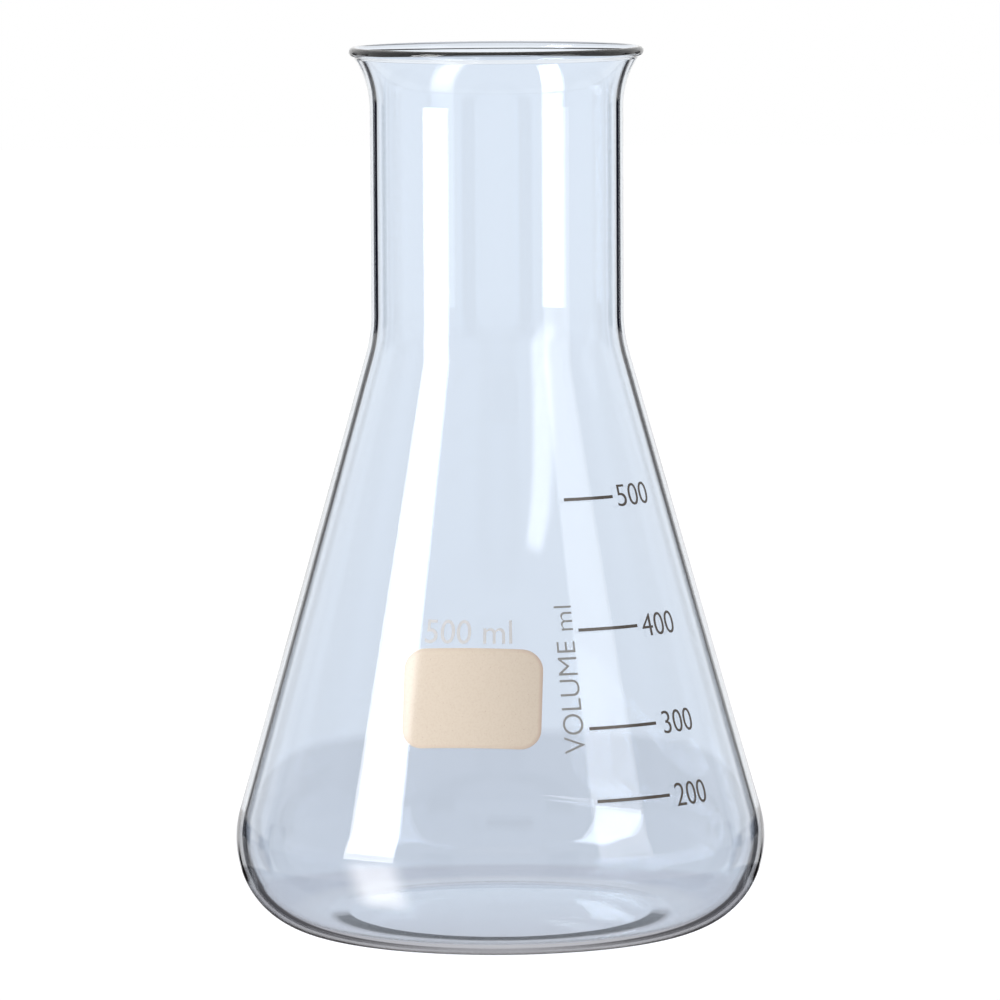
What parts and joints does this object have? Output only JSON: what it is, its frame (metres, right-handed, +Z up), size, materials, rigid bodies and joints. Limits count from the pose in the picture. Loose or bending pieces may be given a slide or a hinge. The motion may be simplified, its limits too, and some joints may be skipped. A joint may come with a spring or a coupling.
{
  "type": "laboratory flask",
  "caption": "Conical borosilicate glass flask with a wide straight neck, flared beaded rim, rounded heel, beige marking field and volume scale.",
  "frame": {"origin": "centre of the foot, in the plane that the foot ring stands on", "axes": "+Z up along the axis of revolution, out of the mouth; the printed side faces -Y; +X is to the right of someone who reads the print"},
  "size_m": [0.105, 0.105, 0.175],
  "materials": {
    "glass": "clear, fire-polished",
    "beige_enamel": "fired beige enamel, slightly matt",
    "dark_enamel": "fired dark enamel"
  },
  "bodies": {
    "root": {"flask_body": "glass", "marking_field": "beige_enamel", "scale_lines": "dark_enamel"}
  },
  "joints": []
}
